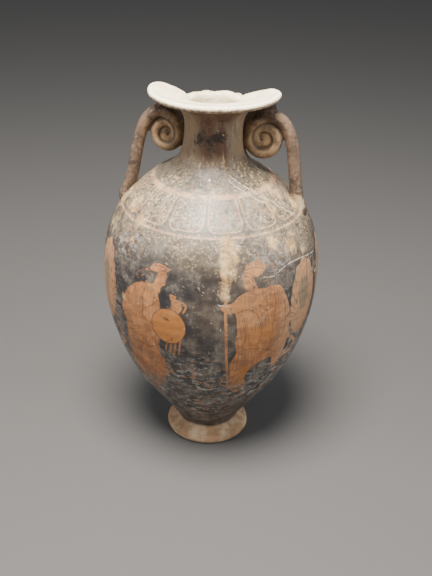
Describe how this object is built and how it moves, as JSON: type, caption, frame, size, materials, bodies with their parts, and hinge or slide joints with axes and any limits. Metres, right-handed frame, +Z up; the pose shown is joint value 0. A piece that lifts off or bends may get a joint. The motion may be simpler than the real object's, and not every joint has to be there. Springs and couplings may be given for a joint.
{
  "type": "two-handled terracotta vase",
  "caption": "Hollow two-handled amphora on a spreading foot, with scroll handles, a broad lip broken away at the back, and worn painted figures on a dark ground.",
  "frame": {"origin": "centre of the foot's resting ring, on the surface that the vase stands on", "axes": "+Z up along the vase's axis, the two handles along +X and -X, the painted front towards -Y and the broken side of the lip towards +Y"},
  "size_m": [0.1764, 0.1768, 0.3096],
  "materials": {
    "painted_terracotta": "worn black gloss with reserved orange figures, matt to satin"
  },
  "bodies": {
    "root": {"vase": "painted_terracotta"}
  },
  "joints": []
}
